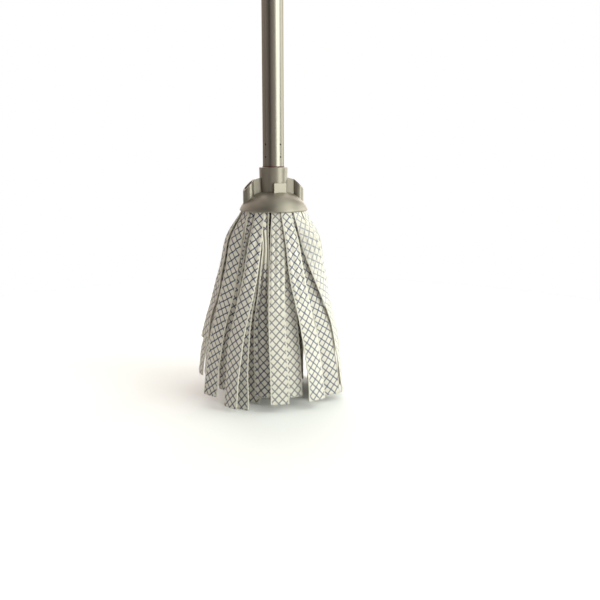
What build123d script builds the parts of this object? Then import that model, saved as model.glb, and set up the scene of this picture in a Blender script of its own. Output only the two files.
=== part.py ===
from build123d import *
import math
import os

# Strip mop: nonwoven strips clamped in a moulded cap, and a tube handle that pushes into the cap.
# Millimetres, +Z up. The origin is on the floor under the handle's axis, and the front faces -Y.
# Azimuths are degrees round from the front, towards +X. Heights named rise, seat or drop start at the rim.

# Handle tube and the punch marks that stake its foot plug
TUBE_DIAMETER = 22.0
TUBE_WALL = 1.0
TUBE_LENGTH = 1030.0
DIMPLE_PUNCH_RADIUS = 1.0
DIMPLE_DEPTH = 0.9
DIMPLE_HEIGHTS = (10.4, 23.1)
DIMPLE_COUNT = 4
DIMPLE_AZIMUTH = 45.0

# Foot plug: a body staked in the tube, a flange under it and a fluted spigot
PLUG_CLEARANCE = 0.1
PLUG_REACH = 46.0
PLUG_FLANGE = 2.0
PLUG_BORE = 10.0
PLUG_FLOOR = 1.9
STAKE_CLEARANCE = 0.3
SPIGOT_DIAMETER = 16.2
SPIGOT_LENGTH = 16.3
SPIGOT_CHAMFER = 1.2
FLUTE_COUNT = 6
FLUTE_RADIUS = 1.3

# Hanger at the top end of the tube
HANGER_REACH = 28.0
HANGER_HEAD = 7.0
HANGER_ROUND = 1.2
EYE_RADIUS = 5.0
EYE_WALL = 4.0
EYE_THICKNESS = 9.0
EYE_RISE = 15.0
EYE_ROUND = 1.0

# Cap: a domed moulding with the handle socket
RIM_HEIGHT = 200.6
RIM_RADIUS = 36.1
RIM_ROUND = 0.9
DOME_RISE = 21.8
DOME_SINK = 6.0
DOME_WALL = 2.2
SOCKET_RISE = 44.8
SOCKET_WALL = 3.5
SOCKET_TAPER = 0.7
SOCKET_ROUND = 0.7
SOCKET_CLEARANCE = 0.4
SEAT_DEPTH = 14.0
SPIGOT_CLEARANCE = 0.2
SPIGOT_END_GAP = 0.5
COLUMN_WALL = 2.2

# Two hollow lugs beside the socket, each on a web, and a bare pad on the socket's side
LUG_RADIUS = 5.6
LUG_WALL = 1.4
LUG_REACH = 27.4
LUG_APEX_RISE = 32.4
LUG_SLOPE = 46.0
LUG_FLOOR_RISE = 17.0
LUG_TURN = 20.0
WEB_THICKNESS = 3.0
WEB_SOCKET_RISE = 34.5
WEB_LUG_RISE = 32.0
PAD_AZIMUTH = 29.0
PAD_WIDTH = 14.7
PAD_BOTTOM_RISE = 16.0
PAD_TOP_RISE = 28.7
PAD_PROUD = 0.7
PAD_ROUND = 0.5

# Core: the dish that clamps the strips' roots, with its screw and washer
CORE_SEAT = 6.5
CORE_DROP = 1.5
CORE_PLATE = 3.0
CORE_RECESS_RADIUS = 16.0
SCREW_DIAMETER = 4.0
SCREW_BITE = 6.0
SCREW_HEAD_DIAMETER = 8.0
SCREW_HEAD_HEIGHT = 3.0
SCREW_KEY_SIZE = 3.0
SCREW_KEY_DEPTH = 1.8
SCREW_CLEARANCE = 0.1
WASHER_DIAMETER = 14.0
WASHER_THICKNESS = 1.2

# Strips: their cloth, and how the roots are stacked in the cap
STRIP_WIDTH = 20.0
STRIP_THICKNESS = 1.0
ROOT_WIDTH = 11.0
ROOT_RISE = 5.5
CLAMP_DEPTH = 6.0
LAYER_GAP = 0.6
LAYERS = 4
SHOULDER_FALL = 0.16
HALFWAY_FALL = 0.45
HIGH_FALL = 0.5
SECTIONS = 13

# How every strip falls: share of the drop from rim to floor, share of its flare, share of its width let out
FALL = (
    (0.0, 0.0, 0.0),
    (0.04, 0.095, 0.12),
    (0.09, 0.25, 0.32),
    (0.16, 0.38, 0.48),
    (0.27, 0.46, 0.6),
    (0.42, 0.57, 0.66),
    (0.58, 0.76, 0.74),
    (0.78, 0.905, 0.88),
    (1.0, 1.0, 1.0),
)

# The strips at the front, read from left to right: layer from the outside, root and tip azimuth, more azimuth
# at the shoulder and halfway down, flare radius at the floor, height of the tip, twist at the shoulder, halfway
# down and at the tip, bow across, how deep it lies at the shoulder, and share of its width let out or, below
# zero, gathered in there
FRONT_STRIPS = (
    (0, -113.0, -99.0, 0.0, -2.0, 86.3, 18.0, -7.0, -16.0, -29.0, 0.8, 1.2, 0.0),
    (0, -86.0, -92.5, 0.0, 0.0, 84.5, 61.0, -12.0, -22.0, -30.0, 0.8, 2.4, 0.0),
    (1, -88.0, -87.0, 0.0, 0.0, 77.0, 22.0, -10.0, -16.0, -14.0, 0.8, 0.9, 0.0),
    (0, -57.0, -66.0, 4.9, 1.4, 74.0, 6.0, -24.0, -27.5, -25.0, 0.8, 0.0, 0.0),
    (1, -39.0, -56.5, 2.4, -5.8, 62.0, 13.0, -4.0, -12.0, -18.0, 0.8, -1.0, -1.2),
    (0, -22.5, -36.0, 2.4, -1.5, 75.0, 3.0, -11.6, -3.5, 10.0, 0.8, 0.0, -0.16),
    (2, -26.0, -31.0, 0.0, -4.5, 65.0, 0.0, -3.0, -8.0, 2.0, 0.8, 7.0, 0.0),
    (3, -23.0, -32.0, 0.0, 0.0, 42.0, 1.0, 0.0, 0.0, 0.0, 0.8, 0.0, 0.0),
    (1, -15.4, -12.1, 7.3, -2.1, 48.0, 9.0, 0.0, 0.0, -5.0, 0.8, -5.7, -0.95),
    (1, 7.5, 6.5, 0.0, -2.5, 67.0, 8.0, 0.0, -9.0, -7.0, 0.8, 0.0, 0.0),
    (2, 15.0, 22.0, 0.0, 0.5, 58.0, 12.0, 0.0, -8.0, -6.0, 0.8, 0.0, 0.0),
    (0, 24.0, 40.0, 0.0, 1.0, 71.0, 9.0, -3.0, 1.0, 5.0, 0.8, 0.0, 0.0),
    (1, 42.0, 63.0, 0.0, 3.5, 69.0, 8.0, 6.0, 26.0, 42.0, 0.8, 5.6, 0.0),
    (0, 48.0, 75.0, 0.0, 7.5, 75.5, 9.0, 29.0, -6.0, -10.0, 1.6, 0.0, 1.0),
    (0, 71.0, 97.0, 0.0, 6.0, 74.0, 4.0, 0.0, 0.0, 0.0, 0.8, 0.0, 0.0),
)

# The rest of each layer: first root azimuth, pitch, flare radius, each strip's swing to its tip, tip heights
REST_LAYERS = (
    (96.0, 24.6, 72.0, (25.0, 20.5, 17.0, 14.0, 11.5, 10.0), (0.0, 7.0, 0.0, 3.0, 0.0, 8.0)),
    (69.0, 28.7, 59.0, (17.0, 12.0, 4.0, 9.0, 7.0, 4.0, 2.0), (0.0, 6.0, 3.0, 9.0, 0.0, 5.0, 2.0)),
    (47.0, 32.2, 47.0, (18.0, 11.0, 4.0, 8.0, 3.0, 2.0, 2.0, 1.0, 0.0), (5.0, 11.0, 7.0, 3.0)),
    (22.0, 45.0, 29.0, (0.0, -8.0, 14.0, 4.0, 0.0, 0.0, 0.0), (6.0, 12.0, 9.0)),
)
FLARE_VARIES = 2.5
TWIST_HIGH_SHARE = 0.33
TWIST_HALFWAY_VARIES = 6.0
TWIST_TIP_VARIES = 14.0
BOW_MEAN = 0.8
BOW_VARIES = 0.4

# Uneven values come from a sine that steps along the strips, and each use starts at its own step
UNEVEN_STEP = 2.4
UNEVEN_START = 0.7
UNEVEN_SHIFTS = {"twist halfway": 1, "twist at the tip": 2, "flare": 3, "bow": 5}

# Two places closer than this are the same place
SAME_PLACE = 0.01

# Places worked out from the sizes above
TUBE_RADIUS = TUBE_DIAMETER / 2
TUBE_BORE_RADIUS = TUBE_RADIUS - TUBE_WALL
SPIGOT_RADIUS = SPIGOT_DIAMETER / 2
SPIGOT_BORE_RADIUS = SPIGOT_RADIUS + SPIGOT_CLEARANCE
SOCKET_BORE_RADIUS = TUBE_RADIUS + SOCKET_CLEARANCE
SOCKET_TOP_RADIUS = SOCKET_BORE_RADIUS + SOCKET_WALL
SOCKET_FOOT_RADIUS = SOCKET_TOP_RADIUS - SOCKET_TAPER
COLUMN_RADIUS = SPIGOT_BORE_RADIUS + COLUMN_WALL
SOCKET_TOP = RIM_HEIGHT + SOCKET_RISE
HANDLE_SEAT = SOCKET_TOP - SEAT_DEPTH
SPIGOT_FLOOR = HANDLE_SEAT - SPIGOT_LENGTH - SPIGOT_END_GAP
TUBE_FOOT = HANDLE_SEAT + PLUG_FLANGE
TUBE_TOP = TUBE_FOOT + TUBE_LENGTH
HANGER_TOP = TUBE_TOP + HANGER_HEAD
DOME_CENTRE = RIM_HEIGHT - DOME_SINK
DOME_HALF_HEIGHT = DOME_RISE + DOME_SINK
DOME_HALF_WIDTH = RIM_RADIUS / math.sqrt(1 - (DOME_SINK / DOME_HALF_HEIGHT) ** 2)
HOLLOW_HALF_HEIGHT = DOME_HALF_HEIGHT - DOME_WALL
HOLLOW_HALF_WIDTH = DOME_HALF_WIDTH - DOME_WALL
CLAMP_ANGLE = math.asin((CLAMP_DEPTH + DOME_SINK) / HOLLOW_HALF_HEIGHT)
CLAMP_TOP_RADIUS = HOLLOW_HALF_WIDTH * math.cos(CLAMP_ANGLE)
CLAMP_RIM_RADIUS = RIM_RADIUS - DOME_WALL
LAYER_PITCH = STRIP_THICKNESS + LAYER_GAP
CORE_TOP = RIM_HEIGHT + CORE_SEAT
CORE_CEILING = CORE_TOP - CORE_PLATE


def turned(face):
    """A solid of revolution about the handle's axis, from a face drawn as radius and height."""
    return revolve(Plane.XZ * face, Axis.Z)


def rod(radius, bottom, top):
    """A cylinder on the handle's axis between two heights."""
    return Pos(0, 0, bottom) * extrude(Circle(radius), top - bottom)


def ring_edges(shape, height, radius):
    """The circular edges of that radius at that height."""
    found = []
    for edge in shape.edges().filter_by(GeomType.CIRCLE):
        middle = edge.arc_center
        off_axis = math.hypot(middle.X, middle.Y)
        if max(off_axis, abs(middle.Z - height), abs(edge.radius - radius)) < SAME_PLACE:
            found.append(edge)
    return found


def dimple_places(radius):
    """The places of the punch marks, at a distance from the handle's axis."""
    places = []
    for height in DIMPLE_HEIGHTS:
        for number in range(DIMPLE_COUNT):
            azimuth = math.radians(DIMPLE_AZIMUTH + number * 360 / DIMPLE_COUNT)
            place = (radius * math.sin(azimuth), -radius * math.cos(azimuth), SOCKET_TOP + height)
            places.append(Location(place))
    return places


def handle_tube():
    """Aluminium tube with punch marks that push its wall into the foot plug."""
    punch_centre = TUBE_RADIUS + DIMPLE_PUNCH_RADIUS - DIMPLE_DEPTH
    bore = rod(TUBE_BORE_RADIUS, TUBE_FOOT, TUBE_TOP)
    tube = rod(TUBE_RADIUS, TUBE_FOOT, TUBE_TOP) - bore
    bumps = [place * Sphere(DIMPLE_PUNCH_RADIUS + TUBE_WALL) for place in dimple_places(punch_centre)]
    dimples = [place * Sphere(DIMPLE_PUNCH_RADIUS) for place in dimple_places(punch_centre)]
    bumps_inside = [bump & bore for bump in bumps]
    return tube + bumps_inside - dimples


def handle_plug():
    """Moulded foot plug: the tube stands on its flange, and its spigot goes into the socket."""
    body_radius = TUBE_BORE_RADIUS - PLUG_CLEARANCE
    body = rod(body_radius, TUBE_FOOT, TUBE_FOOT + PLUG_REACH)
    flange = rod(TUBE_RADIUS, HANDLE_SEAT, TUBE_FOOT)
    spigot_end = HANDLE_SEAT - SPIGOT_LENGTH
    spigot = rod(SPIGOT_RADIUS, spigot_end, HANDLE_SEAT)
    spigot = chamfer(ring_edges(spigot, spigot_end, SPIGOT_RADIUS), SPIGOT_CHAMFER)
    flute = rod(FLUTE_RADIUS, spigot_end, HANDLE_SEAT - PLUG_FLANGE)
    flutes = [place * flute for place in PolarLocations(SPIGOT_RADIUS, FLUTE_COUNT)]
    bump_radius = DIMPLE_PUNCH_RADIUS + TUBE_WALL + STAKE_CLEARANCE
    punch_centre = TUBE_RADIUS + DIMPLE_PUNCH_RADIUS - DIMPLE_DEPTH
    stakes = [place * Sphere(bump_radius) for place in dimple_places(punch_centre)]
    hollow = rod(PLUG_BORE / 2, TUBE_FOOT + PLUG_FLOOR, TUBE_FOOT + PLUG_REACH)
    return body + flange + spigot - flutes - stakes - hollow


def hanger_cap():
    """Moulded end cap, flush with the tube, with a hanging eye."""
    plug = rod(TUBE_BORE_RADIUS - PLUG_CLEARANCE, TUBE_TOP - HANGER_REACH, TUBE_TOP)
    head = rod(TUBE_RADIUS, TUBE_TOP, HANGER_TOP)
    head = fillet(ring_edges(head, HANGER_TOP, TUBE_RADIUS), HANGER_ROUND)
    eye_radius = EYE_RADIUS + EYE_WALL
    eye_height = HANGER_TOP + EYE_RISE
    upright = Plane.XZ * make_face(
        Polyline(
            (-eye_radius, HANGER_TOP - HANGER_ROUND),
            (eye_radius, HANGER_TOP - HANGER_ROUND),
            (eye_radius, eye_height),
            (-eye_radius, eye_height),
            close=True,
        )
    )
    eye_plane = Plane(origin=(0, 0, eye_height), x_dir=(1, 0, 0), z_dir=(0, -1, 0))
    eye = extrude(upright, EYE_THICKNESS / 2, both=True)
    eye += extrude(eye_plane * Circle(eye_radius), EYE_THICKNESS / 2, both=True)
    sides = eye.faces().filter_by(Axis.Y)
    eye = fillet([edge for face in sides for edge in face.edges()], EYE_ROUND)
    hole = extrude(eye_plane * Circle(EYE_RADIUS), EYE_THICKNESS, both=True)
    return plug + head + eye - hole


def lug_line(reach):
    """Height of a lug's slanted top at a distance from the handle's axis."""
    inner = LUG_REACH - LUG_RADIUS
    return RIM_HEIGHT + LUG_APEX_RISE - (reach - inner) * math.tan(math.radians(LUG_SLOPE))


def lug(radius, bottom):
    """A round post on the X axis, cut off by the lug's slanted top."""
    low = LUG_REACH - 2 * LUG_RADIUS
    high = LUG_REACH + 2 * LUG_RADIUS
    outline = Polyline(
        (low, bottom), (high, bottom), (high, lug_line(high)), (low, lug_line(low)), close=True
    )
    wedge = extrude(Plane.XZ * make_face(outline), 2 * LUG_RADIUS, both=True)
    post = Pos(LUG_REACH, 0, bottom) * extrude(Circle(radius), lug_line(low) - bottom)
    return post & wedge


def lug_web():
    """The upright plate from the socket to a lug."""
    inner = SOCKET_FOOT_RADIUS - SOCKET_WALL / 2
    outer = LUG_REACH - LUG_RADIUS + LUG_WALL / 2
    outline = Polyline(
        (inner, RIM_HEIGHT + CORE_SEAT),
        (outer, RIM_HEIGHT + CORE_SEAT),
        (outer, RIM_HEIGHT + WEB_LUG_RISE),
        (inner, RIM_HEIGHT + WEB_SOCKET_RISE),
        close=True,
    )
    return extrude(Plane.XZ * make_face(outline), WEB_THICKNESS / 2, both=True)


def socket_pad():
    """A flat bare pad on the socket's side."""
    depth = SOCKET_TOP_RADIUS + PAD_PROUD
    height = PAD_TOP_RISE - PAD_BOTTOM_RISE
    middle = RIM_HEIGHT + (PAD_TOP_RISE + PAD_BOTTOM_RISE) / 2
    pad = Pos(0, -depth / 2, middle) * Box(PAD_WIDTH, depth, height)
    front = pad.faces().sort_by(Axis.Y)[0]
    pad = fillet(front.edges(), PAD_ROUND)
    return Rot(0, 0, PAD_AZIMUTH) * pad


def cap_outside():
    """Dome and socket, filled in."""
    start = math.degrees(math.asin(DOME_SINK / DOME_HALF_HEIGHT))
    end = math.degrees(math.acos(SOCKET_FOOT_RADIUS / DOME_HALF_WIDTH))
    dome = EllipticalCenterArc(
        (0, DOME_CENTRE), DOME_HALF_WIDTH, DOME_HALF_HEIGHT, start, arc_size=end - start
    )
    rest = Polyline(dome @ 1, (SOCKET_TOP_RADIUS, SOCKET_TOP), (0, SOCKET_TOP), (0, RIM_HEIGHT), dome @ 0)
    body = turned(make_face([dome, rest]))
    body = fillet(ring_edges(body, RIM_HEIGHT, RIM_RADIUS), RIM_ROUND)
    return fillet(ring_edges(body, SOCKET_TOP, SOCKET_TOP_RADIUS), SOCKET_ROUND)


def cap_hollow():
    """The space under the dome, round the column that holds the spigot."""
    start = math.degrees(CLAMP_ANGLE)
    end = math.degrees(math.acos(COLUMN_RADIUS / HOLLOW_HALF_WIDTH))
    dome = EllipticalCenterArc(
        (0, DOME_CENTRE), HOLLOW_HALF_WIDTH, HOLLOW_HALF_HEIGHT, start, arc_size=end - start
    )
    rest = Polyline(
        dome @ 1,
        (COLUMN_RADIUS, CORE_TOP),
        (0, CORE_TOP),
        (0, RIM_HEIGHT),
        (CLAMP_RIM_RADIUS, RIM_HEIGHT),
        dome @ 0,
    )
    return turned(make_face([dome, rest]))


def head_cap():
    """The cap moulding: dome, socket, lugs, webs and pad in one piece."""
    half_turn = Rot(0, 0, 180)
    lug_place = Rot(0, 0, LUG_TURN)
    side = lug(LUG_RADIUS, RIM_HEIGHT + ROOT_RISE) + lug_web()
    pocket = lug(LUG_RADIUS - LUG_WALL, RIM_HEIGHT + LUG_FLOOR_RISE)
    cap = cap_outside() + socket_pad()
    cap += lug_place * side
    cap += lug_place * half_turn * side
    cap -= lug_place * pocket
    cap -= lug_place * half_turn * pocket
    cap -= cap_hollow()
    cap -= rod(SOCKET_BORE_RADIUS, HANDLE_SEAT, SOCKET_TOP)
    cap -= rod(SPIGOT_BORE_RADIUS, SPIGOT_FLOOR, HANDLE_SEAT)
    cap -= rod(SCREW_DIAMETER / 2 + SCREW_CLEARANCE, CORE_TOP, CORE_TOP + SCREW_BITE)
    return cap


def clamp_radius(height):
    """Radius of the cap's conical inside, where the strips' roots lie."""
    slope = (CLAMP_TOP_RADIUS - CLAMP_RIM_RADIUS) / CLAMP_DEPTH
    return CLAMP_RIM_RADIUS + slope * (height - RIM_HEIGHT)


def strip_core():
    """The dish that clamps the roots against the cap's inside."""
    stack = LAYERS * LAYER_PITCH + LAYER_GAP
    bottom = RIM_HEIGHT - CORE_DROP
    hole = SCREW_DIAMETER / 2 + SCREW_CLEARANCE
    outline = Polyline(
        (hole, CORE_TOP),
        (clamp_radius(CORE_TOP) - stack, CORE_TOP),
        (clamp_radius(bottom) - stack, bottom),
        (CORE_RECESS_RADIUS, bottom),
        (CORE_RECESS_RADIUS, CORE_CEILING),
        (hole, CORE_CEILING),
        close=True,
    )
    return turned(make_face(outline))


def core_washer():
    """Flat washer under the screw's head."""
    bottom = CORE_CEILING - WASHER_THICKNESS
    hole = rod(SCREW_DIAMETER / 2 + SCREW_CLEARANCE, bottom, CORE_CEILING)
    return rod(WASHER_DIAMETER / 2, bottom, CORE_CEILING) - hole


def core_screw():
    """Socket screw up through the core into the cap's column."""
    head_top = CORE_CEILING - WASHER_THICKNESS
    head_bottom = head_top - SCREW_HEAD_HEIGHT
    head = rod(SCREW_HEAD_DIAMETER / 2, head_bottom, head_top)
    shank = rod(SCREW_DIAMETER / 2, head_top, CORE_TOP + SCREW_BITE)
    key_face = RegularPolygon(SCREW_KEY_SIZE / 2, 6, major_radius=False)
    key = Pos(0, 0, head_bottom) * extrude(key_face, SCREW_KEY_DEPTH)
    return head + shank - key


def ease(share):
    """A smooth step from 0 to 1."""
    share = min(max(share, 0.0), 1.0)
    return share * share * (3 - 2 * share)


def fall_share(fall, column):
    """A share from the fall table, between its rows."""
    for upper, lower in zip(FALL, FALL[1:]):
        if fall <= lower[0]:
            return upper[column] + (lower[column] - upper[column]) * (fall - upper[0]) / (lower[0] - upper[0])
    return FALL[-1][column]


def strip_section(height, radius, azimuth, twist, width, bow):
    """A level cut through a strip: a thin bowed bar, facing outward and turned by the twist."""
    around = math.radians(azimuth)
    across = math.radians(azimuth - twist)
    plane = Plane(
        origin=(radius * math.sin(around), -radius * math.cos(around), height),
        x_dir=(math.cos(across), math.sin(across), 0),
        z_dir=(0, 0, 1),
    )
    half = width / 2
    skin = STRIP_THICKNESS / 2
    outer = ThreePointArc((-half, -skin), (0, -skin - bow), (half, -skin))
    inner = ThreePointArc((half, skin), (0, skin - bow), (-half, skin))
    right_edge = Line(outer @ 1, inner @ 0)
    left_edge = Line(inner @ 1, outer @ 0)
    return plane * make_face([outer, right_edge, inner, left_edge])


def section_heights(tip_height):
    """Heights of a strip's cuts from its root down, closer together towards both ends."""
    top = RIM_HEIGHT + ROOT_RISE
    shares = [(1 - math.cos(math.pi * number / (SECTIONS - 1))) / 2 for number in range(SECTIONS)]
    return [top - share * (top - tip_height) for share in shares]


def strip(layer, root_azimuth, tip_azimuth, lean_high, lean_halfway, flare, tip_height, twist_high, twist_halfway,
          twist_tip, bow, sink, let_out_high):
    """One strip, lofted from its root in the clamp down to its cut end."""
    sections = []
    inset = LAYER_GAP + STRIP_THICKNESS / 2 + layer * LAYER_PITCH
    rim_radius = clamp_radius(RIM_HEIGHT) - inset
    tip_fall = 1 - tip_height / RIM_HEIGHT
    for height in section_heights(tip_height):
        fall = max(0.0, 1 - height / RIM_HEIGHT)
        share = fall / tip_fall
        shoulder = ease(fall / SHOULDER_FALL)
        halfway = ease((fall - SHOULDER_FALL) / (HALFWAY_FALL - SHOULDER_FALL))
        last = ease((fall - HALFWAY_FALL) / (tip_fall - HALFWAY_FALL))
        root_radius = clamp_radius(max(height, RIM_HEIGHT)) - inset
        high = shoulder * (1 - ease((fall - SHOULDER_FALL) / HIGH_FALL))
        radius = root_radius + (flare - rim_radius) * fall_share(fall, 1) - sink * high
        swing = (tip_azimuth - root_azimuth) * ease(share)
        azimuth = root_azimuth + swing + lean_high * high + lean_halfway * ease(2 * min(share, 1 - share))
        twist = twist_high * shoulder + (twist_halfway - twist_high) * halfway + (twist_tip - twist_halfway) * last
        let_out = max(fall_share(fall, 2) + min(let_out_high, 0.0) * high, let_out_high * shoulder)
        width = ROOT_WIDTH + (STRIP_WIDTH - ROOT_WIDTH) * let_out
        round_bow = width**2 / (8 * radius)
        section_bow = round_bow + (bow - round_bow) * let_out
        sections.append(strip_section(height, radius, azimuth, twist, width, section_bow))
    return loft(sections)


def uneven(number, use, span):
    """An uneven value within a span either way, the same every time."""
    return span * math.sin(UNEVEN_STEP * (number + UNEVEN_SHIFTS[use]) + UNEVEN_START)


def rest_strips():
    """The strips at the sides, the back and inside, layer by layer."""
    rows = []
    for layer, (first, pitch, flare, swings, tips) in enumerate(REST_LAYERS):
        for place, swing in enumerate(swings):
            number = len(rows)
            root = first + place * pitch
            tip = root + swing
            radius = flare + uneven(number, "flare", FLARE_VARIES)
            twist_halfway = uneven(number, "twist halfway", TWIST_HALFWAY_VARIES)
            twist_tip = uneven(number, "twist at the tip", TWIST_TIP_VARIES)
            bow = BOW_MEAN + uneven(number, "bow", BOW_VARIES)
            tip_height = tips[place % len(tips)]
            twists = (TWIST_HIGH_SHARE * twist_halfway, twist_halfway, twist_tip)
            rows.append((layer, root, tip, 0.0, 0.0, radius, tip_height, *twists, bow, 0.0, 0.0))
    return rows


def main():
    os.makedirs("parts", exist_ok=True)
    pieces = {
        "handle_tube": handle_tube(),
        "handle_plug": handle_plug(),
        "hanger_cap": hanger_cap(),
        "head_cap": head_cap(),
        "strip_core": strip_core(),
        "core_washer": core_washer(),
        "core_screw": core_screw(),
    }
    for number, row in enumerate(FRONT_STRIPS, 1):
        pieces[f"strip_front_{number:02d}"] = strip(*row)
    for number, row in enumerate(rest_strips(), 1):
        pieces[f"strip_rest_{number:02d}"] = strip(*row)
    for name, piece in pieces.items():
        export_step(piece, f"parts/{name}.step")


main()
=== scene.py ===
# %% [markdown]
# A strip mop
#
# This notebook dresses a strip mop: a champagne tube handle, a domed plastic cap, and a skirt of printed
# nonwoven strips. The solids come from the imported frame, at their real size and place, so nothing here is
# moved or resized. We keep the hard pieces as they are and give them finishes, and we remake each strip as
# cloth. First the frame is loaded, and its box is kept for comparison at the end.

# %% Load the frame
import math
import random

import bpy
import numpy as np
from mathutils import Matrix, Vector


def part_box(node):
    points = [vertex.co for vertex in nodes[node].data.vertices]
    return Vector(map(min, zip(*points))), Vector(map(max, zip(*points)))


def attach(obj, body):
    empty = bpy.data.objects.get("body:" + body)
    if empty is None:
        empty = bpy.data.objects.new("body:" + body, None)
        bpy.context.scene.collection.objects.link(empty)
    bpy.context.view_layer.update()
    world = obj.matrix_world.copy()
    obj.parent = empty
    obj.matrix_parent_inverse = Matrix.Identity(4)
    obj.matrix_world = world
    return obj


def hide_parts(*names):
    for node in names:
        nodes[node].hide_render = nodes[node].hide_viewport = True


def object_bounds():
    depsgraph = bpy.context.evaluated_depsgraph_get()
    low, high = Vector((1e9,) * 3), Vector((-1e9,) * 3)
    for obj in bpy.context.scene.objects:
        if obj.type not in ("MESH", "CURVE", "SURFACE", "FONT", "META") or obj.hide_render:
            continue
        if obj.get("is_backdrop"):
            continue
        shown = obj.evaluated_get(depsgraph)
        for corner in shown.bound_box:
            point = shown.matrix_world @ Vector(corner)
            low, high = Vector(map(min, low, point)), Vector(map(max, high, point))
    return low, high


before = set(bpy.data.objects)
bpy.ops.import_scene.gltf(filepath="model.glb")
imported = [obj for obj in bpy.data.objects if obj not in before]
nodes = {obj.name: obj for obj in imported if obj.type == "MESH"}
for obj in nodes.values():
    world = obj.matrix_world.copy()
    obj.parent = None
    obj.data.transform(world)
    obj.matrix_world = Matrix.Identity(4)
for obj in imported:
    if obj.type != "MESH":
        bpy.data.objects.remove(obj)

MM = 0.001
cad_low, cad_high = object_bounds()
strip_names = sorted(name for name in nodes if name.startswith(("strip_front", "strip_rest")))
print("solids:", len(nodes), "strips:", len(strip_names))
print("box in mm:", [round(size / MM, 1) for size in cad_high - cad_low])

# %% [markdown]
# Camera
#
# The picture is square, and its perspective was worked out from the tube, the round rim and the floor. A
# lens in millimetres depends on the sensor's width, so we turn the focal length from pixels to millimetres.
# The camera stands a little to the right of the handle and looks slightly down.

# %% Camera
PICTURE_PX = 600
FOCAL_PX = 764.0
SENSOR_MM = 36.0
# Place in metres, and tilt in degrees up from straight down
CAMERA_PLACE = (0.0278, -0.809, 0.2636)
CAMERA_TILT = 78.84

camera = bpy.data.objects.new("camera", bpy.data.cameras.new("camera"))
camera.data.sensor_width = SENSOR_MM
camera.data.lens = FOCAL_PX * SENSOR_MM / PICTURE_PX
camera.location = CAMERA_PLACE
camera.rotation_euler = (math.radians(CAMERA_TILT), 0.0, 0.0)
bpy.context.scene.collection.objects.link(camera)
bpy.context.scene.camera = camera
print("lens in mm:", round(camera.data.lens, 2))

# %% [markdown]
# Helpers for materials
#
# Colours are easiest to read as the hex codes that paint programs show. Those are sRGB, and shaders work in
# linear light, so one function turns them. A second one adds a node, sets it and links its inputs, so that a
# material reads from top to bottom like a recipe. A third starts an empty material.


# %% Colour and node helpers
def linear(hex_code):
    """Linear colour with alpha from an sRGB hex code."""
    parts = [int(hex_code[place:place + 2], 16) / 255 for place in (1, 3, 5)]
    return [part / 12.92 if part <= 0.04045 else ((part + 0.055) / 1.055) ** 2.4 for part in parts] + [1.0]


def add(tree, kind, inputs=(), **settings):
    """A new node with these settings. An input is a value, or an output socket to link from."""
    made = tree.nodes.new(kind)
    for name, value in settings.items():
        setattr(made, name, value)
    for name, value in dict(inputs).items():
        if isinstance(value, bpy.types.NodeSocket):
            tree.links.new(value, made.inputs[name])
        else:
            made.inputs[name].default_value = value
    return made


def new_material(name):
    """An empty node material, and the tree and output to build on."""
    material = bpy.data.materials.new(name)
    material.use_nodes = True
    tree = material.node_tree
    tree.nodes.clear()
    return material, tree, add(tree, "ShaderNodeOutputMaterial")


print("a middle grey in linear light:", round(linear("#808080")[0], 3))

# %% [markdown]
# Studio light
#
# A bank of softboxes on the right, from table height to well above the mop, gives the bright band on the
# tube and the cap, and the bright strips on that side. A pale wall behind and dim walls in front and on the
# left fill the shadows. Little light comes from above the front, so the dome stays dark there. Satin plastic
# and metal show the room more than their own colour, so the room is drawn as a light dome, in which each
# softbox or wall is a round panel with a soft border. The key light is a little green and the fill a little
# pink, as mixed lamps are. The panels' strengths began as a fit to the brightness of small patches of the
# photograph, and were then rounded and changed. The camera itself sees plain white.

# %% Light dome
PANEL_BORDER = 6.0
# Each panel: azimuth from the front towards +X, elevation, half width in degrees, and strength
KEY_PANELS = ((60, 8, 22, 4.1), (120, 8, 22, 2.5), (45, 38, 26, 1.5), (90, 38, 26, 1.45), (90, 66, 22, 1.0))
FILL_PANELS = (
    (180, 8, 22, 1.8),
    (180, 38, 26, 2.05),
    (180, 66, 22, 0.3),
    (150, 8, 22, 1.15),
    (-150, 8, 22, 0.75),
    (-135, 38, 26, 0.6),
    (-120, 8, 22, 0.4),
    (-90, 8, 22, 0.2),
    (-90, 38, 26, 0.4),
    (-90, 66, 22, 0.35),
    (-60, 8, 22, 0.3),
    (0, 8, 22, 0.45),
    (30, 8, 22, 0.2),
)


def panel_glow(tree, way, panels):
    """Strength of the light from some panels, for a direction."""
    total = None
    for azimuth, elevation, half_width, strength in panels:
        around = math.radians(azimuth)
        rise = math.radians(elevation)
        aim = (math.cos(rise) * math.sin(around), -math.cos(rise) * math.cos(around), math.sin(rise))
        facing = add(tree, "ShaderNodeVectorMath", {0: way, 1: aim}, operation="DOT_PRODUCT")
        glow = add(
            tree,
            "ShaderNodeMapRange",
            {
                "Value": facing.outputs["Value"],
                "From Min": math.cos(math.radians(half_width + PANEL_BORDER)),
                "From Max": math.cos(math.radians(half_width - PANEL_BORDER)),
                "To Min": 0.0,
                "To Max": strength,
            },
            interpolation_type="SMOOTHSTEP",
        ).outputs[0]
        if total is None:
            total = glow
        else:
            total = add(tree, "ShaderNodeMath", {0: total, 1: glow}, operation="ADD").outputs[0]
    return total


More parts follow.
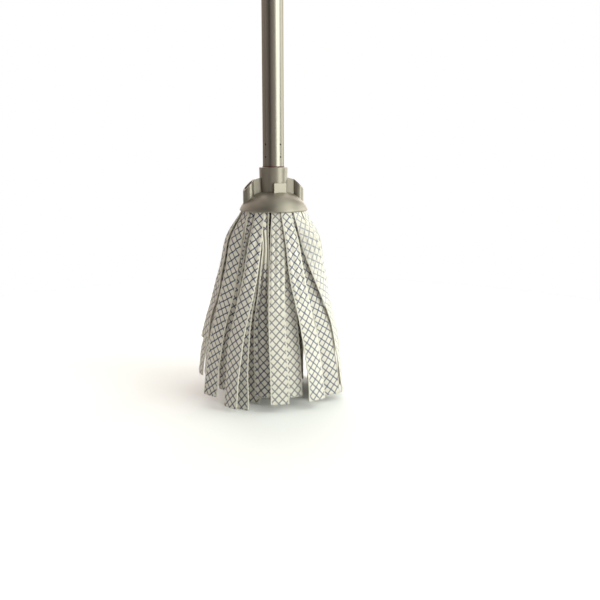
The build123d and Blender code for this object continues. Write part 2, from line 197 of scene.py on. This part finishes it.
def studio_world():
    """A white room to look at, which lights the mop from its panels."""
    world = bpy.data.worlds.new("studio")
    world.use_nodes = True
    tree = world.node_tree
    tree.nodes.clear()
    way = add(tree, "ShaderNodeTexCoord").outputs["Generated"]
    key = add(
        tree,
        "ShaderNodeBackground",
        {"Color": linear("#fbfff6"), "Strength": panel_glow(tree, way, KEY_PANELS)},
    )
    fill = add(
        tree,
        "ShaderNodeBackground",
        {"Color": linear("#fff2ea"), "Strength": panel_glow(tree, way, FILL_PANELS)},
    )
    lit = add(tree, "ShaderNodeAddShader", {0: key.outputs[0], 1: fill.outputs[0]})
    seen = add(tree, "ShaderNodeBackground", {"Color": linear("#ffffff"), "Strength": 1.0})
    ray = add(tree, "ShaderNodeLightPath")
    both = add(
        tree,
        "ShaderNodeMixShader",
        {0: ray.outputs["Is Camera Ray"], 1: lit.outputs[0], 2: seen.outputs[0]},
    )
    add(tree, "ShaderNodeOutputWorld", {"Surface": both.outputs[0]})
    bpy.context.scene.world = world


studio_world()
bpy.context.scene.view_settings.view_transform = "Standard"
print("panels of light:", len(KEY_PANELS) + len(FILL_PANELS))

# %% [markdown]
# Floor
#
# The mop stands on a round table top under white paper. Paper is matt, with a fine tooth that hardly shows.
# The table is no part of the mop, so it is marked as stage.

# %% Floor
FLOOR_RADIUS = 0.75
FLOOR_SIDES = 96
# Grains of paper across the floor, about one to 1.7 mm
PAPER_GRAINS = 900.0


def studio_floor():
    """A white round table top, marked as stage."""
    bpy.ops.mesh.primitive_circle_add(vertices=FLOOR_SIDES, radius=FLOOR_RADIUS, fill_type="NGON")
    floor = bpy.context.object
    floor.name = "floor"
    material, tree, output = new_material("white table paper")
    grain = add(tree, "ShaderNodeTexNoise", {"Scale": PAPER_GRAINS, "Detail": 3.0})
    bump = add(tree, "ShaderNodeBump", {"Strength": 0.02, "Height": grain.outputs[0]})
    paper = add(
        tree,
        "ShaderNodeBsdfPrincipled",
        {
            "Base Color": linear("#f9fcfd"),
            "Roughness": 0.9,
            "Specular IOR Level": 0.1,
            "Normal": bump.outputs[0],
        },
    )
    tree.links.new(paper.outputs[0], output.inputs["Surface"])
    floor.data.materials.append(material)
    floor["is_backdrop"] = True


studio_floor()
print("floor radius in metres:", FLOOR_RADIUS)

# %% [markdown]
# Strips as cloth
#
# Each strip of the frame is a plain bar with the right fall. We cut it level at many heights, and each cut
# gives the strip's left edge, right edge and bow. A smooth polynomial through the cuts is the strip's path,
# and a fine grid on that path is the cloth.

# %% Read a strip's path from its solid
CUTS = 30
PATH_DEGREE = 12
CUT_MARGIN = 0.004
EDGE_BAND = 0.9 * MM


def level_cut(corners, height):
    """Points where triangles cross a height, as x and y."""
    points = []
    for first, second in ((0, 1), (1, 2), (2, 0)):
        start = corners[:, first]
        reach = corners[:, second] - start
        crosses = (start[:, 2] - height) * (start[:, 2] + reach[:, 2] - height) < 0
        share = (height - start[crosses, 2]) / reach[crosses, 2]
        points.append(start[crosses, :2] + share[:, None] * reach[crosses, :2])
    return np.concatenate(points)


def edges_and_bow(points):
    """Left edge, right edge and bow of a level cut, seen from outside."""
    middle = points.mean(0)
    direction = np.linalg.svd(points - middle)[2][0]
    if direction @ (-middle[1], middle[0]) < 0:
        direction = -direction
    along = (points - middle) @ direction
    left = points[along < along.min() + EDGE_BAND].mean(0)
    right = points[along > along.max() - EDGE_BAND].mean(0)
    span = right - left
    width = np.linalg.norm(span)
    share = (points - left) @ span / width**2
    lift = (points - left) @ (span[1], -span[0]) / width
    arch = 4 * share * (1 - share)
    return [*left, *right, arch @ lift / (arch @ arch)]


def strip_path(name):
    """Heights of a strip's top and end, and curves of its edges and bow from 0 to 1 between them."""
    mesh = nodes[name].data
    mesh.calc_loop_triangles()
    spots = np.array([spot.co for spot in mesh.vertices])
    corners = spots[np.array([triangle.vertices for triangle in mesh.loop_triangles])]
    top = spots[:, 2].max()
    bottom = spots[:, 2].min()
    shares = np.linspace(CUT_MARGIN, 1 - CUT_MARGIN, CUTS)
    rows = np.array([edges_and_bow(level_cut(corners, top + (bottom - top) * share)) for share in shares])
    curves = [np.polynomial.Chebyshev.fit(shares, column, PATH_DEGREE, domain=[0, 1]) for column in rows.T]
    return top, bottom, curves


paths = {name: strip_path(name) for name in strip_names}
print("paths read:", len(paths))

# %% [markdown]
# Folds in the cloth
#
# A straight grid would look like card. So the cloth gets slow bends, rocked sides and curled edges, all
# drawn by chance with a fixed start, so that every run gives the same mop. Two strips are gathered at the
# rim, and there the cloth that has no room goes into pleats. Formulas give these folds on every run alike,
# and at far less cost than a simulation of 44 strips that lie on each other.

# %% Pleats and bends
STRIP_WIDTH = 20 * MM
# Pleats across each strip that is gathered, and how bare of print they are
PLEATS = {"strip_front_05": (2, 0.0), "strip_front_09": (2, 0.94)}
PLEAT_ROUNDNESS = 0.7
# Ranges to draw from, in millimetres
SLIGHT_PLEAT = (0.2, 0.45)
SLIGHT_PLEAT_LENGTH = (5.0, 8.0)
BEND = (0.2, 0.5)
ROCK = (0.2, 0.6)
CURL = (-0.8, 0.8)
# Ranges to draw from, in metres down the strip
BEND_LENGTH = (0.06, 0.1)
ROCK_LENGTH = (0.045, 0.08)
# Stretches below the rim over which the folds come and go
SLIGHT_PLEATS_COME = (0, 25 * MM)
SLIGHT_PLEATS_GO = (60 * MM, 120 * MM)
SWAY_COMES = (20 * MM, 90 * MM)
CURL_COMES = (90 * MM, 190 * MM)


def ease(start, end, value):
    """A smooth step from 0 at start to 1 at end."""
    share = np.clip((value - start) / (end - start), 0.0, 1.0)
    return share * share * (3 - 2 * share)


def gathering(width):
    """How steep the pleats are that take up a strip's whole width in less."""
    return np.sqrt(np.maximum((STRIP_WIDTH / width) ** 2 - 1, 0))


def pleats(name, below, share, width, chance):
    """Pleats that take up the cloth where a strip is gathered, or slight ones on a plain strip."""
    if name in PLEATS:
        count = PLEATS[name][0]
        depth = width / count / 4 * gathering(width)
        return depth * (2 * np.abs(np.cos(math.pi * count * share)) ** PLEAT_ROUNDNESS - 1)
    depth = chance.uniform(*SLIGHT_PLEAT) * MM
    depth = depth * ease(*SLIGHT_PLEATS_COME, below) * (1 - ease(*SLIGHT_PLEATS_GO, below))
    turns = (share - 0.5) * width / (chance.uniform(*SLIGHT_PLEAT_LENGTH) * MM) + chance.random()
    return depth * np.sin(2 * math.pi * turns)


def slow_wave(below, heights, lengths, chance):
    """A wave down a strip, with its height, length and start drawn by chance."""
    height = chance.uniform(*heights) * MM
    return height * np.sin(2 * math.pi * (below / chance.uniform(*lengths) + chance.random()))


def sway(below, share, chance):
    """Slow bends, a rocking of the two sides, and curled sides near the end."""
    side = 2 * share - 1
    loose = ease(*SWAY_COMES, below)
    bend = slow_wave(below, BEND, BEND_LENGTH, chance)
    rock = side * slow_wave(below, ROCK, ROCK_LENGTH, chance)
    curl = chance.uniform(*CURL) * MM * np.abs(side) ** 3 * ease(*CURL_COMES, below)
    return loose * (bend + rock) + curl


print("gathered strips:", sorted(PLEATS))

# %% [markdown]
# Points of the cloth
#
# Each row of the grid is a level cut of the strip. Its points lie between the left and the right edge, and
# are pushed outward by the bow and the folds. A nonwoven is cut without a hem, so its sides fray a little
# and its end is ragged.

# %% Points of the cloth
ROWS = 120
COLUMNS = 48
PLEAT_COLUMNS = 96
RIM_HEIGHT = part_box("head_cap")[0].z
# Ranges to draw from, in millimetres
FRAY = (-0.2, 0.2)
RAGGED_END = (0.0, 0.9)
# How fast the fray of an edge fades towards the middle, as a power
FRAY_FADE = 8


def cloth_points(name, columns, chance):
    """Points of a strip of cloth, row by row, and the left and right end of each row."""
    top, bottom, curves = paths[name]
    drop = np.linspace(0, 1, ROWS)[:, None]
    share = np.linspace(0, 1, columns)[None, :]
    left_x, left_y, right_x, right_y, bow = [curve(drop) for curve in curves]
    height = top + (bottom - top) * drop
    below = RIM_HEIGHT - height
    span_x = right_x - left_x
    span_y = right_y - left_y
    width = np.hypot(span_x, span_y)
    frayed = np.array([[chance.uniform(*FRAY), chance.uniform(*FRAY)] for _ in range(ROWS)]) * MM
    left_fray = frayed[:, :1] * (1 - share) ** FRAY_FADE
    right_fray = frayed[:, 1:] * share**FRAY_FADE
    sideways = share + (left_fray + right_fray) / width
    off = bow * 4 * share * (1 - share) + pleats(name, below, share, width, chance)
    off = off + sway(below, share, chance)
    spots = np.empty((ROWS, columns, 3))
    spots[..., 0] = left_x + span_x * sideways + span_y / width * off
    spots[..., 1] = left_y + span_y * sideways - span_x / width * off
    spots[..., 2] = height
    spots[-1, :, 2] += np.array([chance.uniform(*RAGGED_END) * MM for _ in range(columns)])
    return spots, np.hstack([left_x, left_y, height]), np.hstack([right_x, right_y, height])


print("points on a plain strip:", ROWS * COLUMNS)

# %% [markdown]
# Maps on the cloth
#
# The cloth keeps a map of its flat cut in metres, so that the print can be drawn on it at its real size.
# The print follows the strip's own length, so the flat cut is turned by as much as the strip leans. A
# second map holds the way to the cut edges, where the print stops. In the tight pleats of one strip the
# print hardly shows, and there that way is made shorter.

# %% Maps on the cloth
# Range to draw from, in millimetres
PRINT_SHIFT = (-4, 4)
# Steepness of pleats at which print begins to go, and at which it is gone
BARE_GATHERING = (1.6, 2.2)


def leaning(middle, span, width):
    """How much of a strip's way down goes sideways, along its level cuts."""
    heading = np.gradient(middle, axis=0)
    heading /= np.linalg.norm(heading, axis=1, keepdims=True)
    return (span * heading[:, :2]).sum(1, keepdims=True) / width


def running_length(spots, axis):
    """Distance along the cloth from its first row or column."""
    steps = np.linalg.norm(np.diff(spots, axis=axis), axis=2)
    start = np.zeros_like(np.take(steps, [0], axis=axis))
    return np.concatenate([start, np.cumsum(steps, axis=axis)], axis=axis)


def cloth_maps(name, spots, left, right, chance):
    """The flat cut of a strip of cloth, and the way from each point to its cut edges."""
    columns = spots.shape[1]
    share = np.linspace(0, 1, columns)[None, :]
    across = running_length(spots, 1)
    along = running_length(spots, 0)
    span = (right - left)[:, :2]
    width = np.hypot(span[:, :1], span[:, 1:])
    lean = leaning((left + right) / 2, span, width)
    aside = (across - across[:, columns // 2][:, None]) * np.sqrt(1 - lean**2)
    down = along + (share - 0.5) * width * lean
    aside = aside + chance.uniform(*PRINT_SHIFT) * MM
    down = down + chance.uniform(*PRINT_SHIFT) * MM
    inset = np.minimum(across, across[:, -1:] - across)
    if name in PLEATS:
        inset = inset * (1 - PLEATS[name][1] * ease(*BARE_GATHERING, gathering(width)))
    return np.stack([aside, down], -1), np.stack([inset, along[-1:] - along], -1)


def add_map(mesh, title, values):
    """A map with two values for each point of a mesh."""
    corner = np.empty(len(mesh.loops), int)
    mesh.loops.foreach_get("vertex_index", corner)
    layer = mesh.uv_layers.new(name=title)
    layer.data.foreach_set("uv", values.reshape(-1, 2)[corner].ravel())


print("print shifted by up to, in mm:", max(PRINT_SHIFT))

# %% [markdown]
# Sheets of cloth
#
# Points, faces and maps make a sheet, and a modifier gives it the felt's thickness. The two gathered strips
# are pressed thinner. The modifier puts a second material on the cut edges and a third on the reverse.

# %% Sheets of cloth
CLOTH_THICKNESS = 1.1 * MM
PLEAT_THICKNESS = 0.7 * MM


def grid_faces(rows, columns):
    """Faces between points that are counted row by row."""
    faces = []
    for row in range(rows - 1):
        for column in range(columns - 1):
            first = row * columns + column
            faces.append((first, first + columns, first + columns + 1, first + 1))
    return faces


def thicken(cloth, thickness):
    """Thickness for a sheet, with its second material on the cut edges and its third on the reverse."""
    thick = cloth.modifiers.new("cloth thickness", "SOLIDIFY")
    thick.thickness = thickness
    thick.offset = 0.0
    thick.material_offset_rim = 1
    thick.material_offset = 2


def strip_cloth(name, number):
    """A cloth strip on a solid strip's path, its length along the middle, and the points of its end."""
    chance = random.Random(number)
    columns = PLEAT_COLUMNS if name in PLEATS else COLUMNS
    spots, left, right = cloth_points(name, columns, chance)
    flat, edge = cloth_maps(name, spots, left, right, chance)
    mesh = bpy.data.meshes.new(name.replace("strip", "cloth_strip"))
    mesh.from_pydata(spots.reshape(-1, 3).tolist(), [], grid_faces(ROWS, columns))
    add_map(mesh, "flat cut", flat)
    add_map(mesh, "to the cut edge", edge)
    mesh.shade_smooth()
    cloth = bpy.data.objects.new(mesh.name, mesh)
    bpy.context.scene.collection.objects.link(cloth)
    thicken(cloth, PLEAT_THICKNESS if name in PLEATS else CLOTH_THICKNESS)
    return cloth, running_length(spots, 0)[-1, columns // 2], spots[-1]


print("faces on a plain sheet:", len(grid_faces(ROWS, COLUMNS)))

# %% [markdown]
# Printed lattice
#
# The strips are printed with a lattice of slate lines in diamonds. A picture of it could be laid on the
# cloth, but a formula gives it its real size and stays sharp from any distance. It is two sets of slanted
# lines, worked out from the flat cut, and a fine noise makes their borders a little uneven, as ink is on
# felt.

# %% Printed lattice
# Lattice in millimetres, and the unevenness of its lines as a share of their spacing
DIAMOND_WIDE = 7.9
DIAMOND_TALL = 8.7
LINE_BLUR = 0.35
LINE_UNEVENNESS = 0.08
# Grains to a millimetre
UNEVEN_GRAIN = 0.45
PER_METRE = 1000.0


def lattice_lines(tree, cut, line_width):
    """How far each point is from the nearest printed line, and how much ink it takes."""
    grain = UNEVEN_GRAIN * PER_METRE
    cells_wide = PER_METRE / DIAMOND_WIDE
    cells_tall = PER_METRE / DIAMOND_TALL
    uneven = add(tree, "ShaderNodeTexNoise", {"Vector": cut, "Scale": grain, "Detail": 2.0})
    place = add(tree, "ShaderNodeSeparateXYZ", {0: cut})
    wide = add(tree, "ShaderNodeMath", {0: place.outputs["X"], 1: cells_wide}, operation="MULTIPLY")
    tall = add(tree, "ShaderNodeMath", {0: place.outputs["Y"], 1: cells_tall}, operation="MULTIPLY")
    away = []
    for operation in ("ADD", "SUBTRACT"):
        slant = add(tree, "ShaderNodeMath", {0: wide.outputs[0], 1: tall.outputs[0]}, operation=operation)
        from_line = add(tree, "ShaderNodeMath", {0: slant.outputs[0], 1: 0.5}, operation="PINGPONG")
        away.append(from_line.outputs[0])
    nearest = add(tree, "ShaderNodeMath", {0: away[0], 1: away[1]}, operation="MINIMUM").outputs[0]
    rough = add(
        tree,
        "ShaderNodeMath",
        {0: uneven.outputs[0], 1: LINE_UNEVENNESS, 2: nearest},
        operation="MULTIPLY_ADD",
    )
    spacing = DIAMOND_WIDE * DIAMOND_TALL / math.hypot(DIAMOND_WIDE, DIAMOND_TALL)
    edge = line_width / 2 / spacing + LINE_UNEVENNESS / 2
    ink = add(
        tree,
        "ShaderNodeMapRange",
        {
            "Value": rough.outputs[0],
            "From Min": edge + LINE_BLUR / 2 / spacing,
            "From Max": edge - LINE_BLUR / 2 / spacing,
            "To Min": 0.0,
            "To Max": 1.0,
        },
        interpolation_type="SMOOTHSTEP",
    )
    return nearest, ink.outputs[0]


print("diamonds across a strip:", round(STRIP_WIDTH / MM / DIAMOND_WIDE, 1))

# %% [markdown]
# Viscose nonwoven
#
# The strips are viscose nonwoven: fibres bonded into a soft felt, cream white. The eye sees a matt surface
# with a fine fibre grain, cells that puff up between the printed lines, and bare pale cut edges. The ink
# goes through to the reverse, where it is greyer and broader. On the strips on the lit side the same ink is
# painted paler, as painted light that washes the print out there.
# The cut edges get the same felt with no print. Single fibres are about 0.02 mm thick, too fine to show, so
# the grain is drawn as tufts about 0.6 mm wide.

# %% Viscose nonwoven
# Grains to a millimetre
FIBRE_GRAIN = 1.6
CLOUD_GRAIN = 0.09
# Millimetres from a cut edge where print begins, and where it is full
BARE_EDGE = (0.7, 1.4)
# Height of a puffed cell in heights of the fibre grain
CELL_PUFF = 2.0


def viscose_nonwoven(name, ink_colour=None, line_width=1.0, least_ink=0.6):
    """Matt cream felt, with or without a printed lattice."""
    material, tree, output = new_material(name)
    cut = add(tree, "ShaderNodeUVMap", uv_map="flat cut").outputs[0]
    fibre = add(tree, "ShaderNodeTexNoise", {"Vector": cut, "Scale": FIBRE_GRAIN * PER_METRE, "Detail": 5.0})
    cloud = add(tree, "ShaderNodeTexNoise", {"Vector": cut, "Scale": CLOUD_GRAIN * PER_METRE, "Detail": 2.0})
    tone = add(tree, "ShaderNodeMath", {0: fibre.outputs[0], 1: cloud.outputs[0]}, operation="MULTIPLY")
    felt = add(
        tree,
        "ShaderNodeMix",
        {0: tone.outputs[0], 6: linear("#cfcbbe"), 7: linear("#efeee6")},
        data_type="RGBA",
    )
    colour = felt.outputs[2]
    relief = fibre.outputs[0]
    if ink_colour:
        nearest, ink = lattice_lines(tree, cut, line_width)
        puff = add(tree, "ShaderNodeMath", {0: nearest, 1: CELL_PUFF, 2: relief}, operation="MULTIPLY_ADD")
        relief = puff.outputs[0]
        faded = add(
            tree,
            "ShaderNodeMapRange",
            {"Value": fibre.outputs[0], "From Min": 0.2, "From Max": 0.6, "To Min": least_ink},
        )
        to_edge = add(tree, "ShaderNodeUVMap", uv_map="to the cut edge")
        sides = add(tree, "ShaderNodeSeparateXYZ", {0: to_edge.outputs[0]})
        inside = add(
            tree,
            "ShaderNodeMapRange",
            {
                "Value": sides.outputs["X"],
                "From Min": BARE_EDGE[0] * MM,
                "From Max": BARE_EDGE[1] * MM,
                "To Max": faded.outputs[0],
            },
        )
        mask = add(tree, "ShaderNodeMath", {0: ink, 1: inside.outputs[0]}, operation="MULTIPLY")
        inked = add(
            tree,
            "ShaderNodeMix",
            {0: mask.outputs[0], 6: colour, 7: linear(ink_colour)},
            data_type="RGBA",
        )
        colour = inked.outputs[2]
    bump = add(tree, "ShaderNodeBump", {"Strength": 0.3, "Distance": 0.25 * MM, "Height": relief})
    shader = add(
        tree,
        "ShaderNodeBsdfPrincipled",
        {
            "Base Color": colour,
            "Roughness": 0.92,
            "Specular IOR Level": 0.15,
            "Sheen Weight": 0.1,
            "Normal": bump.outputs[0],
        },
    )
    tree.links.new(shader.outputs[0], output.inputs["Surface"])
    return material


# Ink, line width in millimetres and the least share of ink on a line
# The lit pale prints are painted light: the same inks made paler for the strips on the brightly lit side.
PRINTS = {
    "face": ("#3c3f60", 1.1, 0.8),
    "lit pale face": ("#535a76", 1.1, 0.75),
    "reverse": ("#70717c", 1.2, 0.55),
    "lit pale reverse": ("#9092a0", 1.2, 0.5),
}
nonwoven = {state: viscose_nonwoven("viscose nonwoven " + state, *look) for state, look in PRINTS.items()}
cut_edge = viscose_nonwoven("viscose nonwoven cut edge")
print("printed felts:", sorted(nonwoven))

# %% [markdown]
# Hanging the strips
#
# Strips were put into the clamp either way round, so some turn their printed face outward and some their
# reverse. Those at the right, on the lit side, get a paler copy of their print, as painted light. Strips
# that are not listed show the face. Each strip of cloth takes the place of its solid, and hangs from the cap
# and the core that clamp it.

# %% Hang every strip
OUTSIDE = {
    "strip_front_01": "reverse",
    "strip_front_02": "reverse",
    "strip_front_10": "reverse",
    "strip_front_11": "reverse",
    "strip_front_12": "lit pale face",
    "strip_front_13": "lit pale face",
    "strip_front_14": "lit pale reverse",
    "strip_front_15": "lit pale reverse",
}
INSIDE = {
    "face": "reverse",
    "lit pale face": "lit pale reverse",
    "reverse": "face",
    "lit pale reverse": "lit pale face",
}

ends = {}
for number, name in enumerate(strip_names):
    cloth, length, ends[name] = strip_cloth(name, number)
    outside = OUTSIDE.get(name, "face")
    for material in (nonwoven[outside], cut_edge, nonwoven[INSIDE[outside]]):
        cloth.data.materials.append(material)
    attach(cloth, "head")
    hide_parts(name)
print("strips hung:", len(strip_names))

# %% [markdown]
# Loose fibres
#
# A nonwoven has no threads to hold its cut end, so a few fibres always stand out there. One alone would not
# show in a picture of a whole mop, so these are drawn as small wisps of many fibres. Each is a thin tapered
# tube of three sides, and all of them are one mesh.

# %% Fibres at the cut ends
WISPS = 16
WISP_RADIUS = 0.12 * MM
WISP_SIDES = 3
WISP_STEPS = 5
# Length of a step in millimetres, and the lean, turn and lift of a heading whose fall is 1
WISP_STEP = (0.4, 1.1)
WISP_LEAN = (-0.5, 0.5)
WISP_TURN = (-1, 1)
WISP_LIFT = (-0.2, 0.4)
WISP_BEND = 0.35
WISP_ROOT = 0.5 * MM
WISP_SEED = 1000
# Grains to a millimetre
WISP_CLOUD_GRAIN = 0.2


def loose_felt():
    """Pale matt fibre, for wisps that have no flat cut to draw on."""
    material, tree, output = new_material("loose viscose fibre")
    place = add(tree, "ShaderNodeTexCoord")
    cloud = add(
        tree,
        "ShaderNodeTexNoise",
        {"Vector": place.outputs["Object"], "Scale": WISP_CLOUD_GRAIN * PER_METRE},
    )
    tone = add(
        tree,
        "ShaderNodeMix",
        {0: cloud.outputs[0], 6: linear("#d8d1be"), 7: linear("#fbf8ec")},
        data_type="RGBA",
    )
    shader = add(tree, "ShaderNodeBsdfPrincipled", {"Base Color": tone.outputs[2], "Roughness": 0.8})
    tree.links.new(shader.outputs[0], output.inputs["Surface"])
    return material


def wisp(start, chance):
    """Points of one wisp, from inside the cloth's end outward and down."""
    heading = Vector((chance.uniform(*WISP_LEAN), chance.uniform(*WISP_LEAN), -1.0))
    turn = Vector((chance.uniform(*WISP_TURN), chance.uniform(*WISP_TURN), chance.uniform(*WISP_LIFT)))
    step = chance.uniform(*WISP_STEP) * MM
    points = [Vector(start) + Vector((0, 0, WISP_ROOT))]
    while len(points) < WISP_STEPS:
        spot = points[-1] + heading.normalized() * step
        spot.z = max(spot.z, WISP_RADIUS)
        points.append(spot)
        heading += turn * WISP_BEND
    return points


def loose_fibres(felt):
    """All the wisps at the strips' ends, as one mesh."""
    spots = []
    faces = []
    for number, name in enumerate(strip_names):
        chance = random.Random(WISP_SEED + number)
        for _ in range(WISPS):
            points = wisp(chance.choice(ends[name]), chance)
            for place, point in enumerate(points):
                radius = WISP_RADIUS * (1 - place / WISP_STEPS)
                first = len(spots)
                before = first - WISP_SIDES
                for corner in range(WISP_SIDES):
                    turn = 2 * math.pi * corner / WISP_SIDES
                    spots.append(point + Vector((radius * math.cos(turn), radius * math.sin(turn), 0)))
                    if place:
                        after = (corner + 1) % WISP_SIDES
                        faces.append((first + corner, first + after, before + after, before + corner))
    mesh = bpy.data.meshes.new("loose_fibres")
    mesh.from_pydata([tuple(spot) for spot in spots], [], faces)
    mesh.materials.append(felt)
    made = bpy.data.objects.new("loose_fibres", mesh)
    bpy.context.scene.collection.objects.link(made)
    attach(made, "head")
    return made


fibres = loose_fibres(loose_felt())
print("wisps:", len(fibres.data.polygons) // (WISP_SIDES * (WISP_STEPS - 1)))

# %% [markdown]
# Moulded plastic
#
# The cap and the hanger are most likely polypropylene with a pearl pigment, moulded in a tool with a
# spark-eroded grain. The eye sees a satin, half metallic, warm titanium grey. The plug and the core are
# plain dark mouldings. A real grain of this kind is about 0.05 mm, too fine to show, so it is drawn about
# 0.45 mm wide. Faint clouds some 17 mm wide keep the colour from being flat.

# %% Moulded plastic
# Grains to a millimetre
SPARK_GRAIN = 2.2
PIGMENT_GRAIN = 0.06


def moulded_plastic(name, colour, fleck, roughness, pearl):
    """Satin moulded plastic with a fine spark-eroded grain, and more or less pearl pigment."""
    material, tree, output = new_material(name)
    spot = add(tree, "ShaderNodeTexCoord").outputs["Object"]
    fine = SPARK_GRAIN * PER_METRE
    broad = PIGMENT_GRAIN * PER_METRE
    grain = add(tree, "ShaderNodeTexNoise", {"Vector": spot, "Scale": fine, "Detail": 2.0})
    cloud = add(tree, "ShaderNodeTexNoise", {"Vector": spot, "Scale": broad, "Detail": 3.0})
    tone = add(
        tree,
        "ShaderNodeMix",
        {0: cloud.outputs[0], 6: linear(colour), 7: linear(fleck)},
        data_type="RGBA",
    )
    gloss = add(
        tree,
        "ShaderNodeMapRange",
        {"Value": grain.outputs[0], "To Min": roughness - 0.05, "To Max": roughness + 0.08},
    )
    bump = add(tree, "ShaderNodeBump", {"Strength": 0.12, "Distance": 0.1 * MM, "Height": grain.outputs[0]})
    shader = add(
        tree,
        "ShaderNodeBsdfPrincipled",
        {
            "Base Color": tone.outputs[2],
            "Metallic": pearl,
            "Roughness": gloss.outputs[0],
            "Normal": bump.outputs[0],
        },
    )
    tree.links.new(shader.outputs[0], output.inputs["Surface"])
    return material


cap_plastic = moulded_plastic("satin titanium grey polypropylene", "#8a857a", "#938d82", 0.36, 0.68)
plug_plastic = moulded_plastic("dark red polypropylene", "#4a1f1a", "#552620", 0.5, 0.0)
core_plastic = moulded_plastic("grey polypropylene", "#5f5850", "#6a6259", 0.5, 0.0)
print("plastics:", [plastic.name for plastic in (cap_plastic, plug_plastic, core_plastic)])

# %% [markdown]
# Drawn metal
#
# The tube is aluminium, drawn through a die and anodised in a champagne tone. The eye sees a satin metal
# with fine lines along it, and its punch marks are coloured near black as painted shade in these hollows.
# Real die lines are a few hundredths of a millimetre apart, too fine to show, so they are drawn about 0.4 mm
# apart. The washer and the screw are zinc-plated steel, with the same lines and no painted shade.

# %% Drawn metal
TUBE_RADIUS = 11 * MM
# Lines to a millimetre along X, Y and Z
DRAWN_LINES = (2.5, 2.5, 0.012)
# Depths below the skin where painted shade begins, and where nothing else shows
PUNCH_MARK_SHADE_DEPTH = (0.25 * MM, 0.6 * MM)


def drawn_metal(name, colour, edge_tint, roughness, skin_radius=0.0):
    """Metal with fine lines along Z, as a drawing die leaves them, and painted shade in marks below its
    skin.
    """
    material, tree, output = new_material(name)
    spot = add(tree, "ShaderNodeTexCoord").outputs["Object"]
    stretch = [count * PER_METRE for count in DRAWN_LINES]
    stretched = add(tree, "ShaderNodeMapping", {"Vector": spot, "Scale": stretch})
    lines = add(tree, "ShaderNodeTexNoise", {"Vector": stretched.outputs[0], "Scale": 1.0, "Detail": 3.0})
    gloss = add(
        tree,
        "ShaderNodeMapRange",
        {"Value": lines.outputs[0], "To Min": roughness - 0.08, "To Max": roughness + 0.1},
    )
    bump = add(tree, "ShaderNodeBump", {"Strength": 0.05, "Distance": 0.1 * MM, "Height": lines.outputs[0]})
    tone = linear(colour)
    # Painted shade: below the tube's skin, in its punch marks, the colour goes near black.
    if skin_radius:
        level = add(tree, "ShaderNodeVectorMath", {0: spot, 1: (1.0, 1.0, 0.0)}, operation="MULTIPLY")
        from_axis = add(tree, "ShaderNodeVectorMath", {0: level.outputs[0]}, operation="LENGTH")
        unshaded = add(
            tree,
            "ShaderNodeMapRange",
            {
                "Value": from_axis.outputs["Value"],
                "From Min": skin_radius - PUNCH_MARK_SHADE_DEPTH[1],
                "From Max": skin_radius - PUNCH_MARK_SHADE_DEPTH[0],
            },
        )
        painted_shade = add(
            tree,
            "ShaderNodeMix",
            {0: unshaded.outputs[0], 6: linear("#1d1712"), 7: linear(colour)},
            data_type="RGBA",
        )
        tone = painted_shade.outputs[2]
    shader = add(
        tree,
        "ShaderNodeBsdfPrincipled",
        {
            "Base Color": tone,
            "Metallic": 1.0,
            "Specular Tint": linear(edge_tint),
            "Roughness": gloss.outputs[0],
            "Normal": bump.outputs[0],
        },
    )
    tree.links.new(shader.outputs[0], output.inputs["Surface"])
    return material


tube_metal = drawn_metal("champagne anodised aluminium", "#98948b", "#9f9a8e", 0.3, TUBE_RADIUS)
zinc = drawn_metal("zinc-plated steel", "#c9cbce", "#ffffff", 0.35)
print("metals:", [metal.name for metal in (tube_metal, zinc)])

# %% [markdown]
# Hard pieces
#
# The hard pieces have the right shape already, so their solids stay, and each gets its finish.

# %% Hard pieces
finishes = {
    "handle_tube": tube_metal,
    "handle_plug": plug_plastic,
    "hanger_cap": cap_plastic,
    "head_cap": cap_plastic,
    "strip_core": core_plastic,
    "core_washer": zinc,
    "core_screw": zinc,
}
for name, finish in finishes.items():
    solid = nodes[name]
    solid.data.materials.clear()
    solid.data.materials.append(finish)
print("finished solids:", sorted(finishes))

# %% [markdown]
# Ring of painted shade at the joint
#
# A thin dark red line runs around the tube where it enters the socket; it is shade in the joint. We make it
# as a small dark red ring of painted shade, which sits on the socket's mouth and stays there when the handle
# is pulled out. Its profile is in millimetres: the distance from the axis, and the rise above the mouth.

# %% Ring of painted shade at the joint
RING_PROFILE = ((11.06, 0.0), (11.6, 0.0), (11.6, 0.6), (11.35, 0.9), (11.06, 0.9))
RING_STEPS = 96


def joint_shade_ring():
    """A thin dark red ring on the socket's mouth, close around the tube, as painted shade in the joint."""
    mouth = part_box("head_cap")[1].z
    corners = len(RING_PROFILE)
    spots = []
    faces = []
    for step in range(RING_STEPS):
        turn = 2 * math.pi * step / RING_STEPS
        here = step * corners
        there = (step + 1) % RING_STEPS * corners
        for corner, (radius, rise) in enumerate(RING_PROFILE):
            spots.append((radius * MM * math.cos(turn), radius * MM * math.sin(turn), mouth + rise * MM))
            up = (corner + 1) % corners
            faces.append((here + corner, there + corner, there + up, here + up))
    mesh = bpy.data.meshes.new("joint_shade_ring")
    mesh.from_pydata(spots, [], faces)
    mesh.materials.append(plug_plastic)
    ring = bpy.data.objects.new("joint_shade_ring", mesh)
    bpy.context.scene.collection.objects.link(ring)
    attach(ring, "head")
    return ring


# The ring is painted shade in the joint between the tube and the socket.
print("faces of the joint shade ring:", len(joint_shade_ring().data.polygons))

# %% [markdown]
# Sizes and finish
#
# Last we compare the dressed mop's box with the solids' box and keep both. Cloth and fibres may pass the
# solids by a millimetre or so.

# %% Sizes and finish
new_low, new_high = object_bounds()
growth = [*(cad_low - new_low), *(new_high - cad_high)]
print("grew by, in mm:", [round(gap / MM, 2) for gap in growth])
